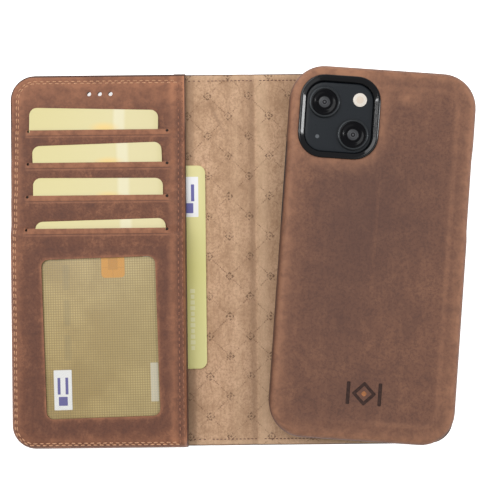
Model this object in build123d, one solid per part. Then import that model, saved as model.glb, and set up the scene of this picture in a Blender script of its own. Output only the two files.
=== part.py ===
from build123d import *
import os
from math import cos, radians, sin

# Two-in-one phone wallet case, lying open and flat with its inside up.  Millimetres.
# Origin: centre of the spine's underside.  X runs across the open wallet, towards the back cover,
# Y along the spine and Z up.  The detachable phone case lies face down on the back cover.

# ---- covers and spine -----------------------------------------------------------------------
open_width = 185.0            # both covers and the spine, laid flat
cover_height = 156.5
corner_radius = 10.5
spine_width = 21.5            # distance between the two fold lines
leather_thickness = 1.3
board_thickness = 1.2
lining_thickness = 0.6
board_inset = 2.5             # stiff board stops short of the stitched edges
fold_inset = 1.5              # and short of the fold lines

camera_window = (37.0, 38.0)  # hole through the back cover, width and height
camera_window_centre = (69.4, 55.5)
camera_window_radius = 9.0
window_turn_in = 1.2          # lining turned in round the camera window

magnet_radius = 6.0
magnet_centres = [(33.0, -38.0), (70.0, -38.0), (33.0, 18.0), (70.0, 18.0)]

speaker_hole_radius = 0.9
speaker_hole_y = 70.3
speaker_hole_xs = [-59.35, -54.85, -50.35]
hole_turn_in = 0.5

# ---- card panel on the front cover ----------------------------------------------------------
panel_right = -19.0
pocket_left = -88.5           # inside faces of the panel's stitched edges
pocket_right = -23.5
pocket_end = 74.0
strip_thickness = 0.6         # leather of the panel
backing_thickness = 0.2       # textile behind the panel and in each slot
film_thickness = 0.15
card_gap = 0.05
slot_count = 4
first_slot_y = 55.1
slot_pitch = 13.8
slot_centre_x = -55.6
slot_width = 59.8
slot_depth = 83.5
slot_lip = 1.5                # end stitches of each slot, along Y
id_window = (46.9, 65.8)
id_window_radius = 3.0
id_window_centre = (-54.2, -31.4)
id_window_turn = 1.5          # degrees, anticlockwise
film_margin = 5.0

# ---- cards ----------------------------------------------------------------------------------
card_width = 53.98
card_length = 85.6
card_thickness = 0.76
card_radius = 3.18
# middle of each slot card's upper edge, and its turn in degrees
slot_cards = [
    (-57.25, 63.95, -1.5),
    (-55.97, 49.04, 1.5),
    (-55.30, 34.70, -0.45),
    (-54.27, 17.20, 1.25),
]
id_card_centre = (-55.6, -30.3)
id_card_turn = 0.9
side_card_right = -10.95      # clear of the fold line
side_card_y = -2.9
chip = (9.6, 12.6, 0.2)
chip_offset = (7.0, 29.8)     # from the middle of its card

# ---- phone, a plain dummy -------------------------------------------------------------------
phone_width = 71.5
phone_length = 146.7
phone_thickness = 7.65
phone_radius = 12.0
glass_thickness = 0.5
glass_inset = 0.4
island = (27.6, 28.6)
island_radius = 7.3
island_height = 1.65
lens_centres = [(-24.2, 61.3), (-11.7, 48.7)]
bezel_radius = 6.3
lens_radius = 5.4
element_radius = 2.3
bezel_height = 1.4
flash_centre = (-9.7, 63.2)
flash_radius = 2.8
mic_centre = (-26.2, 47.2)
mic_radius = 0.5
port = (9.0, 3.0, 5.0)        # charging socket: width, height, depth
button_width = 2.4
button_proud = 0.4
button_depth = 1.15
button_travel = 0.3
button_clearance = 0.15

# ---- detachable phone case ------------------------------------------------------------------
case_centre = (58.0, 1.3)
case_turn = -4.54             # degrees, it was laid down askew
case_rest_gap = 0.05
fit_gap = 0.15                # between phone and shell
shell_side = 1.45
shell_end = 2.15
wrap_side = 1.0               # leather on the sides
wrap_back = 1.1
shell_back = 1.55
liner_thickness = 0.3
screen_recess = 1.0
lip_overlap = 0.8
rim_height = 0.8              # bare plastic rim under the leather
back_edge_radius = 3.2
cutout_height = 5.2
side_cutout_length = 33.0
side_cutout_y = 28.5
end_cutout_length = 44.0
ring_centre = (-17.8, 55.5)
ring_outer = (33.0, 34.0)
ring_outer_radius = 10.0
ring_lip = 2.2
ring_height = 0.8
plate = (52.0, 84.0, 0.5)
plate_centre = (0.0, -8.0)
plate_radius = 6.0
emblem_centre = (0.0, -56.6)
emblem_depth = 0.25

# ---- worked-out values ----------------------------------------------------------------------
fold_x = spine_width / 2
outer_x = open_width / 2
outer_y = cover_height / 2
lining_bottom = leather_thickness + board_thickness
lining_top = lining_bottom + lining_thickness

side_card_z = lining_top + card_gap
backing_z = side_card_z + card_thickness + card_gap
panel_tops = [backing_z + backing_thickness + strip_thickness]
slot_card_zs = []
for _ in range(slot_count):
    slot_card_zs.append(panel_tops[-1] + card_gap)
    panel_tops.append(slot_card_zs[-1] + card_thickness + card_gap + strip_thickness)
window_liner_z = slot_card_zs[-1] + card_thickness + card_gap
id_card_z = window_liner_z + film_thickness + card_gap
film_z = id_card_z + card_thickness + card_gap
panel_tops[-1] = film_z + film_thickness + strip_thickness

slot_left = slot_centre_x - slot_width / 2
slot_right = slot_centre_x + slot_width / 2
slot_ys = [first_slot_y - slot_pitch * step for step in range(slot_count)]
band_ys = [outer_y] + slot_ys + [-outer_y]

phone_back = screen_recess + phone_thickness
shell_inside = phone_back + liner_thickness
shell_top = shell_inside + shell_back
case_top = shell_top + wrap_back
shell_width = phone_width + 2 * (fit_gap + shell_side)
shell_length = phone_length + 2 * (fit_gap + shell_end)
shell_radius = phone_radius + fit_gap + shell_side - 0.6
case_width = shell_width + 2 * wrap_side
case_length = shell_length + 2 * wrap_side
case_radius = shell_radius + wrap_side
ring_inner = (ring_outer[0] - 2 * ring_lip, ring_outer[1] - 2 * ring_lip)
ring_inner_radius = ring_outer_radius - ring_lip
cutout_middle = screen_recess + phone_thickness / 2


# ---- helpers --------------------------------------------------------------------------------
def block(x_span, y_span, z_span):
    """Box between two corners."""
    size = [high - low for low, high in (x_span, y_span, z_span)]
    middle = [(low + high) / 2 for low, high in (x_span, y_span, z_span)]
    return Pos(*middle) * Box(*size)


def plate_solid(width, height, radius, bottom, top, centre=(0, 0), turn=0):
    """Rounded rectangle, standing from bottom to top."""
    outline = RectangleRounded(width, height, radius)
    return Pos(centre[0], centre[1], bottom) * Rot(0, 0, turn) * extrude(outline, top - bottom)


def disc(centre, radius, bottom, top):
    return Pos(centre[0], centre[1], bottom) * extrude(Circle(radius), top - bottom)


def open_outline(inset, bottom, top):
    """The whole open wallet's outline, drawn in by inset."""
    width = open_width - 2 * inset
    height = cover_height - 2 * inset
    return plate_solid(width, height, corner_radius - inset, bottom, top)


def between(x_low, x_high):
    """Slab of space that cuts one cover or the spine out of the open outline."""
    return block((x_low, x_high), (-outer_y - 1, outer_y + 1), (-1, 40))


front_space = between(-outer_x - 1, -fold_x)
spine_space = between(-fold_x, fold_x)
back_space = between(fold_x, outer_x + 1)


def speaker_holes(radius):
    holes = [disc((x, speaker_hole_y), radius, -1, 20) for x in speaker_hole_xs]
    return Part() + holes


def window_hole(margin):
    width, height = camera_window
    radius = camera_window_radius + margin
    return plate_solid(width + 2 * margin, height + 2 * margin, radius, -1, 20, camera_window_centre)


# ---- covers and spine -----------------------------------------------------------------------
def leather(space):
    return open_outline(0, 0, leather_thickness) & space


def board(x_low, x_high):
    return open_outline(board_inset, leather_thickness, lining_bottom) & between(x_low, x_high)


def lining(space, core):
    """Lining over a board and down round its edges to the leather."""
    return (open_outline(0, leather_thickness, lining_top) & space) - core


def back_cover():
    core = board(fold_x + fold_inset, outer_x) - window_hole(window_turn_in)
    magnets = [disc(centre, magnet_radius, leather_thickness, lining_bottom) for centre in magnet_centres]
    window = window_hole(0)
    return {
        "back_leather": leather(back_space) - window,
        "back_board": core - magnets,
        "holding_magnets": Part() + magnets,
        "back_lining": lining(back_space, core) - window,
    }


def spine():
    core = board(-fold_x + fold_inset, fold_x - fold_inset)
    return {
        "spine_leather": leather(spine_space),
        "spine_stiffener": core,
        "spine_lining": lining(spine_space, core),
    }


def front_cover():
    core = board(-outer_x, -fold_x - fold_inset) - speaker_holes(speaker_hole_radius + hole_turn_in)
    holes = speaker_holes(speaker_hole_radius)
    return {
        "front_leather": leather(front_space) - holes,
        "front_board": core,
        "front_lining": lining(front_space, core) - holes,
    }


# ---- card panel -----------------------------------------------------------------------------
def stairs(x_span, floor, ys, tops):
    """Solid with a flat floor and one step for each band between the given Y values."""
    points = [(ys[0], floor)]
    for upper, lower, top in zip(ys, ys[1:], tops):
        points += [(upper, top), (lower, top)]
    points.append((ys[-1], floor))
    profile = Plane.YZ * Polygon(*points, align=None)
    return Pos(x_span[0], 0, 0) * extrude(profile, x_span[1] - x_span[0])


def slot_ends():
    """Leather closed together at both ends of each slot, so a slot is narrower than its pocket."""
    ends = []
    for y, below, top in zip(slot_ys, panel_tops, panel_tops[1:]):
        for x_span in ((pocket_left - 1, slot_left), (slot_right, pocket_right + 1)):
            ends.append(block(x_span, (y - slot_lip, y + 1), (below - strip_thickness, top)))
    return ends


def card_panel():
    """One leather sheet with four slots and the window, stepped up over the cards behind it."""
    body = stairs((-outer_x, panel_right), lining_top, band_ys, panel_tops) & open_outline(0, 0, 40)
    inside_floor = backing_z + backing_thickness
    roofs = [top - strip_thickness for top in panel_tops[1:]]
    inside = stairs((pocket_left, pocket_right), inside_floor, slot_ys + [-pocket_end], roofs)
    side_pocket = block(
        (pocket_left, panel_right + 1), (-pocket_end, pocket_end), (lining_top - 1, inside_floor)
    )
    window = plate_solid(*id_window, id_window_radius, film_z, 40, id_window_centre, id_window_turn)
    return body - (inside - slot_ends()) - side_pocket - window - speaker_holes(speaker_hole_radius)


def slot_pocket(y, top, depth, thickness):
    """Textile behind one card, with its lower edge folded up as the pocket's bottom."""
    x_span = (pocket_left, pocket_right)
    low = max(y - depth - thickness, -pocket_end)
    sheet = block(x_span, (low, y - slot_lip), (top - thickness, top))
    mouth = block((slot_left, slot_right), (y - slot_lip, y), (top - thickness, top))
    return sheet + mouth + block(x_span, (low, low + thickness), (top, top + card_thickness))


def panel_parts():
    parts = {"card_panel": card_panel()}
    backing = block(
        (pocket_left, panel_right),
        (-pocket_end, pocket_end),
        (backing_z, backing_z + backing_thickness),
    )
    parts["side_pocket_backing"] = backing - speaker_holes(speaker_hole_radius)
    for number, (y, top) in enumerate(zip(slot_ys, panel_tops), 1):
        parts[f"slot_pocket_{number}"] = slot_pocket(y, top, slot_depth, backing_thickness)
    parts["window_pocket"] = block(
        (pocket_left, pocket_right),
        (-pocket_end, slot_ys[-1] - slot_lip),
        (window_liner_z, window_liner_z + film_thickness),
    )
    parts["id_window_film"] = plate_solid(
        id_window[0] + 2 * film_margin,
        id_window[1] + 2 * film_margin,
        id_window_radius,
        film_z,
        film_z + film_thickness,
        id_window_centre,
        id_window_turn,
    )
    return parts


# ---- cards ----------------------------------------------------------------------------------
def card(centre, turn, bottom):
    top = bottom + card_thickness
    return plate_solid(card_width, card_length, card_radius, bottom, top, centre, turn)


def hung_card(top_x, top_y, turn, bottom):
    """Card given by the middle of its upper edge."""
    half = card_length / 2
    centre = (top_x + half * sin(radians(turn)), top_y - half * cos(radians(turn)))
    return card(centre, turn, bottom)


def cards():
    parts = {}
    for number, (placing, bottom) in enumerate(zip(slot_cards, slot_card_zs), 1):
        parts[f"card_{number}"] = hung_card(*placing, bottom)
    chip_top = id_card_z + card_thickness
    chip_place = Pos(*id_card_centre, chip_top - chip[2]) * Rot(0, 0, id_card_turn) * Pos(*chip_offset)
    contact_chip = chip_place * extrude(RectangleRounded(chip[0], chip[1], 1.5), chip[2])
    parts["id_card"] = card(id_card_centre, id_card_turn, id_card_z) - contact_chip
    parts["id_card_chip"] = contact_chip
    side_centre = (side_card_right - card_width / 2, side_card_y)
    parts["side_card"] = card(side_centre, 0, side_card_z)
    return parts


# ---- detachable case, in its own frame: rim at z = 0, leather back up -------------------------
def camera_hole(bottom, top, size=ring_inner, radius=ring_inner_radius):
    return plate_solid(*size, radius, bottom, top, ring_centre)


def side_cutouts():
    outline = RectangleRounded(cutout_height, side_cutout_length, 2.4)
    reach = case_width
    tool = Pos(-reach / 2, side_cutout_y, cutout_middle) * Rot(0, 90, 0) * extrude(outline, reach)
    keep = block((-phone_width / 2, phone_width / 2), (0, 60), (0, 12))
    return tool - keep


def end_cutout():
    outline = RectangleRounded(end_cutout_length, cutout_height, 2.4)
    tool = Rot(90, 0, 0) * extrude(outline, case_length)
    keep = block((-40, 40), (-phone_length / 2, case_length), (-8, 8))
    return Pos(0, 0, cutout_middle) * (tool - keep)


def shell_form():
    form = plate_solid(shell_width, shell_length, shell_radius, 0, shell_top)
    top_edges = form.faces().sort_by(Axis.Z)[-1].edges()
    return fillet(top_edges, back_edge_radius - wrap_side)


def case_form():
    form = plate_solid(case_width, case_length, case_radius, rim_height, case_top)
    top_edges = form.faces().sort_by(Axis.Z)[-1].edges()
    return fillet(top_edges, back_edge_radius)


def emblem():
    """Debossed nested diamonds between two bars, with no lettering."""
    outer = Rot(0, 0, 45) * Rectangle(7.0, 7.0)
    middle = Rot(0, 0, 45) * Rectangle(5.2, 5.2)
    inner = Rot(0, 0, 45) * Rectangle(2.4, 2.4)
    bars = [Pos(x, 0) * Rectangle(1.0, 9.0) for x in (-6.4, 6.4)]
    sketch = outer - middle + inner + bars
    return Pos(*emblem_centre, case_top - emblem_depth) * extrude(sketch, 1)


def case_parts():
    cuts = [side_cutouts(), end_cutout()]
    outer_hole = camera_hole(-1, 20, ring_outer, ring_outer_radius)
    wrap = case_form() - shell_form() - outer_hole - cuts - emblem()
    steel = plate_solid(*plate[:2], plate_radius, shell_top - plate[2], shell_top, plate_centre)
    rim = plate_solid(case_width, case_length, case_radius, 0, rim_height)
    cavity = plate_solid(
        phone_width + 2 * fit_gap,
        phone_length + 2 * fit_gap,
        phone_radius + fit_gap,
        screen_recess,
        shell_inside,
    )
    mouth = plate_solid(
        phone_width - 2 * lip_overlap,
        phone_length - 2 * lip_overlap,
        phone_radius - lip_overlap,
        -1,
        screen_recess,
    )
    shell = shell_form() + rim - cavity - mouth - camera_hole(-1, 20) - cuts - steel
    liner = plate_solid(phone_width - 1, phone_length - 1, phone_radius - 0.5, phone_back, shell_inside)
    ring = camera_hole(shell_top, case_top + ring_height, ring_outer, ring_outer_radius)
    ring = ring - camera_hole(0, 20)
    ring_top_edges = ring.faces().sort_by(Axis.Z)[-1].edges()
    return {
        "case_leather": wrap,
        "case_shell": shell,
        "steel_plate": steel,
        "case_liner": liner - camera_hole(-1, 20),
        "camera_guard_ring": fillet(ring_top_edges, 0.5),
    }


# ---- phone, in the case's frame ---------------------------------------------------------------
def button(side, y, length):
    """Side button and the pocket that it travels in; side is -1 or 1."""
    face_x = phone_width / 2
    inner = face_x + button_proud - button_depth
    half = length / 2
    z_span = (cutout_middle - button_width / 2, cutout_middle + button_width / 2)
    key = block((inner, face_x + button_proud), (y - half, y + half), z_span)
    loose = button_clearance
    pocket = block(
        (inner - button_travel - 0.1, face_x + 1),
        (y - half - loose, y + half + loose),
        (z_span[0] - loose, z_span[1] + loose),
    )
    turn = Rot(0, 0, 0 if side > 0 else 180)
    if side < 0:
        shift = Pos(0, 2 * y, 0)
        return shift * turn * key, shift * turn * pocket
    return key, pocket


def phone_parts():
    power, power_pocket = button(-1, side_cutout_y, 16.0)
    volume_up, up_pocket = button(1, side_cutout_y + 6.5, 10.0)
    volume_down, down_pocket = button(1, side_cutout_y - 6.5, 10.0)
    frame_bottom = screen_recess + glass_thickness
    frame_top = phone_back - glass_thickness
    frame = plate_solid(phone_width, phone_length, phone_radius, frame_bottom, frame_top)
    socket = Pos(0, -phone_length / 2 - 1, cutout_middle) * Rot(-90, 0, 0)
    socket = socket * extrude(SlotOverall(port[0], port[1]), port[2] + 1)
    glass = (phone_width - 2 * glass_inset, phone_length - 2 * glass_inset, phone_radius - glass_inset)
    island_top = phone_back + island_height
    bezel_top = island_top + bezel_height
    plateau = camera_hole(phone_back, island_top, island, island_radius)
    plateau -= disc(mic_centre, mic_radius, island_top - 0.8, island_top + 1)
    bezels = [disc(c, bezel_radius, island_top, bezel_top) for c in lens_centres]
    wells = [disc(c, lens_radius, island_top, bezel_top + 1) for c in lens_centres]
    glasses = [disc(c, lens_radius, bezel_top - 0.8, bezel_top - 0.3) for c in lens_centres]
    elements = [disc(c, element_radius, island_top, bezel_top - 0.8) for c in lens_centres]
    return {
        "phone_frame": frame - power_pocket - up_pocket - down_pocket - socket,
        "phone_screen": plate_solid(*glass, screen_recess, frame_bottom),
        "phone_back_glass": plate_solid(*glass, frame_top, phone_back),
        "camera_island": plateau,
        "lens_bezels": (Part() + bezels) - wells,
        "lens_glasses": Part() + glasses,
        "lens_elements": Part() + elements,
        "flash_lens": disc(flash_centre, flash_radius, island_top, island_top + 0.25),
        "power_button": power,
        "volume_up_button": volume_up,
        "volume_down_button": volume_down,
    }


case_place = Pos(*case_centre, lining_top + case_rest_gap) * Rot(0, 0, case_turn)

nodes = {}
for group in (back_cover(), spine(), front_cover(), panel_parts(), cards()):
    nodes.update(group)
for group in (case_parts(), phone_parts()):
    for name, solid in group.items():
        nodes[name] = case_place * solid

os.makedirs("parts", exist_ok=True)
for name, solid in nodes.items():
    solid.label = name
    export_step(solid, f"parts/{name}.step")
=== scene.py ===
import math
import random

import bmesh
import bpy
import numpy as np
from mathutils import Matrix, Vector


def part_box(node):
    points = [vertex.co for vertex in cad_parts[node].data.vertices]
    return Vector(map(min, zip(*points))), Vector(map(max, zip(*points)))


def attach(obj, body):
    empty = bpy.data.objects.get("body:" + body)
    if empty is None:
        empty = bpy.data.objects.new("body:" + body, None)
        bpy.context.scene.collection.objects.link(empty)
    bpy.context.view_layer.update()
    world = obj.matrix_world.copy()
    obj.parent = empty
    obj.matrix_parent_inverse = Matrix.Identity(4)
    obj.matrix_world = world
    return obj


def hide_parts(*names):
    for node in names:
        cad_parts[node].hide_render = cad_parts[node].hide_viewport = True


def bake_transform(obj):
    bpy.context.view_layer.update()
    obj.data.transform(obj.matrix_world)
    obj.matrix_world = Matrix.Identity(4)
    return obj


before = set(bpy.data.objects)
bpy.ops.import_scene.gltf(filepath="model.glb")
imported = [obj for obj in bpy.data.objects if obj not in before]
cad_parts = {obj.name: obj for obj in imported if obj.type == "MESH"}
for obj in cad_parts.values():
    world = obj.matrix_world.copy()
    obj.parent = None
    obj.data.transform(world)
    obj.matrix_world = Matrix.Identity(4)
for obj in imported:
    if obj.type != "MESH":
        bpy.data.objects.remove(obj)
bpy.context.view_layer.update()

MM = 0.001
random.seed(7)

# ---- sizes read from the frame, in millimetres ------------------------------------------------


def span(node):
    """Lowest and highest corner of a CAD node in millimetres."""
    low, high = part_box(node)
    return [value / MM for value in low], [value / MM for value in high]


back_low, back_high = span("back_leather")
outer_x, outer_y = back_high[:2]
fold_x = back_low[0]
leather_top = span("front_leather")[1][2]
lining_top = span("front_lining")[1][2]
panel_right, _, panel_top = span("card_panel")[1]
corner_radius = 10.5
corner_steps = 14
straight_x = 74.0             # columns of a sheet past this follow the rounded corners

# levels of the card panel's bands, from the card edge upwards
strip = 0.6
band_tops = [span("card_1")[0][2] - 0.05]
for number in (1, 2, 3):
    band_tops.append(span(f"card_{number}")[1][2] + 0.05 + strip)
band_tops.append(panel_top)
slot_ys = [span(f"slot_pocket_{number}")[1][1] for number in (1, 2, 3, 4)]
slot_left, slot_right = -85.5, -25.7
pocket_right = -23.5
window_centre = (-54.2, -31.4)
window_size = (46.9, 65.8)
window_radius = 3.0
window_turn = math.radians(1.5)
hole_xs = (-59.35, -54.85, -50.35)
hole_y = 70.3
hole_radius = 0.9
camera_window = (69.4, 55.5, 37.0, 38.0, 9.0)

case_centre = (58.0, 1.3)
case_turn = math.radians(-4.54)
case_floor = span("case_shell")[0][2]

# ---- small tools ------------------------------------------------------------------------------


def smooth(t):
    """0 up to t = 0, 1 from t = 1, with a soft step between."""
    t = np.clip(t, 0.0, 1.0)
    return t * t * t * (t * (6 * t - 15) + 10)


def bell(value, centre, width):
    return np.exp(-(((value - centre) / width) ** 2))


def new_object(name, verts, faces, materials, smooth_faces=True):
    """Mesh object from points in millimetres."""
    mesh = bpy.data.meshes.new(name)
    mesh.from_pydata([tuple(value * MM for value in v) for v in verts], [], faces)
    mesh.update()
    obj = bpy.data.objects.new(name, mesh)
    bpy.context.scene.collection.objects.link(obj)
    for material in materials:
        mesh.materials.append(material)
    mesh.polygons.foreach_set("use_smooth", [smooth_faces] * len(mesh.polygons))
    return obj


def modify(obj, kind, **settings):
    """Applies one modifier to an object's mesh."""
    modifier = obj.modifiers.new(kind.lower(), kind)
    for name, value in settings.items():
        setattr(modifier, name, value)
    bpy.context.view_layer.update()
    evaluated = obj.evaluated_get(bpy.context.evaluated_depsgraph_get())
    mesh = bpy.data.meshes.new_from_object(evaluated)
    obj.modifiers.clear()
    obj.data = mesh


def cut(obj, cutters):
    """Cuts an object with each cutter in turn and removes the cutters."""
    for cutter in cutters:
        modify(obj, "BOOLEAN", operation="DIFFERENCE", object=cutter, solver="EXACT")
        bpy.data.objects.remove(cutter)


def thicken(obj, thickness):
    """Gives a sheet its thickness inwards; the rim takes the second material."""
    modify(obj, "SOLIDIFY", thickness=thickness * MM, offset=-1, use_rim=True, material_offset_rim=1)


def fix_normals(obj):
    """Turns every face outwards."""
    mesh = bmesh.new()
    mesh.from_mesh(obj.data)
    bmesh.ops.recalc_face_normals(mesh, faces=mesh.faces)
    mesh.to_mesh(obj.data)
    mesh.free()


def sharp_by_angle(obj, degrees):
    obj.data.set_sharp_from_angle(angle=math.radians(degrees))


def set_attribute(obj, name, function):
    """Adds a point attribute from a function of x, y, z in millimetres."""
    mesh = obj.data
    co = np.empty(len(mesh.vertices) * 3)
    mesh.vertices.foreach_get("co", co)
    x, y, z = (co.reshape(-1, 3) / MM).T
    attribute = mesh.attributes.new(name, "FLOAT", "POINT")
    attribute.data.foreach_set("value", np.asarray(function(x, y, z), np.float32))


def laid_out(x, y, centre, turn):
    """Place in the row frame of a point given in a moved and turned frame."""
    cos_t, sin_t = math.cos(turn), math.sin(turn)
    return centre[0] + x * cos_t - y * sin_t, centre[1] + x * sin_t + y * cos_t


def seen_from(x, y, centre, turn):
    """Coordinates in a moved and turned frame of points in the row frame."""
    dx, dy = x - centre[0], y - centre[1]
    cos_t, sin_t = math.cos(turn), math.sin(turn)
    return dx * cos_t + dy * sin_t, -dx * sin_t + dy * cos_t


def in_case(x, y):
    """Point of the detachable case's own frame, laid out in the row frame."""
    return laid_out(x, y, case_centre, case_turn)


def from_case(x, y):
    """The case's own coordinates of points in the row frame."""
    return seen_from(x, y, case_centre, case_turn)


def outside(u, v, size, radius):
    """Signed distance out from a rounded rectangle about the origin, negative inside."""
    u = np.abs(u) - (size[0] / 2 - radius)
    v = np.abs(v) - (size[1] / 2 - radius)
    return np.hypot(np.maximum(u, 0), np.maximum(v, 0)) + np.minimum(np.maximum(u, v), 0) - radius


def rounded_outline(size, radius, centre, turn=0.0, steps=8, across=1, along=1):
    """Points of a rounded rectangle, anticlockwise; across and along split its straight sides."""
    width, height = size
    points = []
    corners = ((1, 1, 0), (-1, 1, 90), (-1, -1, 180), (1, -1, 270))
    for number, (sx, sy, start) in enumerate(corners):
        for step in range(steps + 1):
            angle = math.radians(start + 90 * step / steps)
            x = sx * (width / 2 - radius) + radius * math.cos(angle)
            y = sy * (height / 2 - radius) + radius * math.sin(angle)
            points.append((x, y))
        parts = (across, along)[number % 2]
        reach = (size[number % 2] - 2 * radius) / parts
        for part in range(1, parts):
            points.append((x - math.sin(angle) * reach * part, y + math.cos(angle) * reach * part))
    return [laid_out(x, y, centre, turn) for x, y in points]


def circle_outline(centre, radius, steps=24):
    points = []
    for step in range(steps):
        angle = 2 * math.pi * step / steps
        points.append((centre[0] + radius * math.cos(angle), centre[1] + radius * math.sin(angle)))
    return points


def walls(count, loops, closed=False):
    """Faces between loops of count points each; closed joins the last loop to the first."""
    faces = []
    for k in range(loops if closed else loops - 1):
        a, b = k * count, ((k + 1) % loops) * count
        for s in range(count):
            t = (s + 1) % count
            faces.append((a + s, a + t, b + t, b + s))
    return faces


def caps(count, loops):
    """Faces over the first and the last loop."""
    last = (loops - 1) * count
    return [tuple(reversed(range(count))), tuple(range(last, last + count))]


def prism(name, outline, bottom, top, material):
    """Closed prism over an outline, used as a cutter or as a thin part."""
    count = len(outline)
    verts = [(x, y, bottom) for x, y in outline] + [(x, y, top) for x, y in outline]
    faces = caps(count, 2) + walls(count, 2)
    return new_object(name, verts, faces, [material], smooth_faces=False)


# ---- materials --------------------------------------------------------------------------------


class Nodes:
    """Short way to build a node tree for one material; lengths are in metres."""

    def __init__(self, name):
        self.material = bpy.data.materials.new(name)
        self.material.use_nodes = True
        self.tree = self.material.node_tree
        self.shader = self.tree.nodes["Principled BSDF"]
        self.coords = self.new("TexCoord")["Object"]

    def put(self, value, socket):
        """Links a socket or sets its value; colours may leave out their alpha."""
        if isinstance(value, bpy.types.NodeSocket):
            self.tree.links.new(value, socket)
        elif socket.type == "RGBA" and len(value) == 3:
            socket.default_value = (*value, 1)
        else:
            socket.default_value = value

    def new(self, kind, settings=None, **inputs):
        """Outputs of a new node with its settings and inputs filled in."""
        node = self.tree.nodes.new("ShaderNode" + kind)
        for name, value in (settings or {}).items():
            setattr(node, name, value)
        for name, value in inputs.items():
            self.put(value, node.inputs[name.replace("_", " ")])
        return node.outputs

    def mapping(self, scale=(1, 1, 1), turn=(0, 0, 0), shift=(0, 0, 0)):
        return self.new("Mapping", Vector=self.coords, Scale=scale, Rotation=turn, Location=shift)["Vector"]

    def split(self, vector):
        """X and Y of a vector."""
        outputs = self.new("SeparateXYZ", Vector=vector)
        return outputs["X"], outputs["Y"]

    def noise(self, scale, detail, roughness=0.55, vector=None, distortion=0.0):
        """Noise whose features are about 1 / scale metres across."""
        return self.new(
            "TexNoise", Vector=vector or self.coords, Scale=scale, Detail=detail,
            Roughness=roughness, Distortion=distortion,
        )["Fac"]

    def voronoi(self, scale, vector):
        return self.new("TexVoronoi", Vector=vector, Scale=scale)["Distance"]

    def attribute(self, name):
        return self.new("Attribute", {"attribute_name": name})["Fac"]

    def ramp(self, value, stops):
        node = self.tree.nodes.new("ShaderNodeValToRGB")
        self.put(value, node.inputs["Fac"])
        elements = node.color_ramp.elements
        while len(elements) < len(stops):
            elements.new(0.5)
        for element, (position, colour) in zip(elements, stops):
            element.position = position
            element.color = (*colour, 1)
        return node.outputs["Color"]

    def fade(self, value, low, high):
        """0 below low, 1 above high; the other way round if low is the higher one."""
        soft = {"interpolation_type": "SMOOTHSTEP"}
        return self.new("MapRange", soft, Value=value, From_Min=low, From_Max=high)["Result"]

    def math(self, operation, first, second=0.0):
        node = self.tree.nodes.new("ShaderNodeMath")
        node.operation = operation
        self.put(first, node.inputs[0])
        self.put(second, node.inputs[1])
        return node.outputs["Value"]

    def plus(self, first, second):
        return self.math("ADD", first, second)

    def minus(self, first, second):
        return self.math("SUBTRACT", first, second)

    def times(self, first, second):
        return self.math("MULTIPLY", first, second)

    def size(self, value):
        return self.math("ABSOLUTE", value)

    def least(self, first, second):
        return self.math("MINIMUM", first, second)

    def most(self, first, second):
        return self.math("MAXIMUM", first, second)

    def inverse(self, value):
        return self.minus(1.0, value)

    def length(self, x, y):
        return self.math("SQRT", self.plus(self.math("POWER", x, 2.0), self.math("POWER", y, 2.0)))

    def mix(self, factor, first, second):
        return self.new("Mix", {"data_type": "RGBA"}, Factor=factor, A=first, B=second)["Result"]

    def tint(self, tone, mask, amount, colour):
        """Moves a tone towards a colour, by the given amount where the mask is 1."""
        return self.mix(self.times(mask, amount), tone, colour)

    def layers(self, tone, rows):
        """Tints a tone once for each row of pattern, low, high, amount and colour."""
        for pattern, low, high, amount, colour in rows:
            tone = self.tint(tone, self.fade(pattern, low, high), amount, colour)
        return tone

    def bump(self, height, distance, strength=1.0, after=None):
        below = {} if after is None else {"Normal": after}
        return self.new("Bump", Height=height, Distance=distance, Strength=strength, **below)["Normal"]

    def finish(self, colour, roughness, normal=None, **constants):
        self.put(colour, self.shader.inputs["Base Color"])
        self.put(roughness, self.shader.inputs["Roughness"])
        if normal is not None:
            self.put(normal, self.shader.inputs["Normal"])
        for name, value in constants.items():
            self.shader.inputs[name.replace("_", " ")].default_value = value
        return self.material


def scaled(colour, factor, lift=0.0):
    return tuple(min(1.0, c * factor + lift) for c in colour)


PAINT_TONE = (0.060, 0.032, 0.028)
PAINTED = (1.1, 1.9, 0.85, PAINT_TONE)      # layer for a sheet's outline, marked above 1 in an attribute


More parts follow.
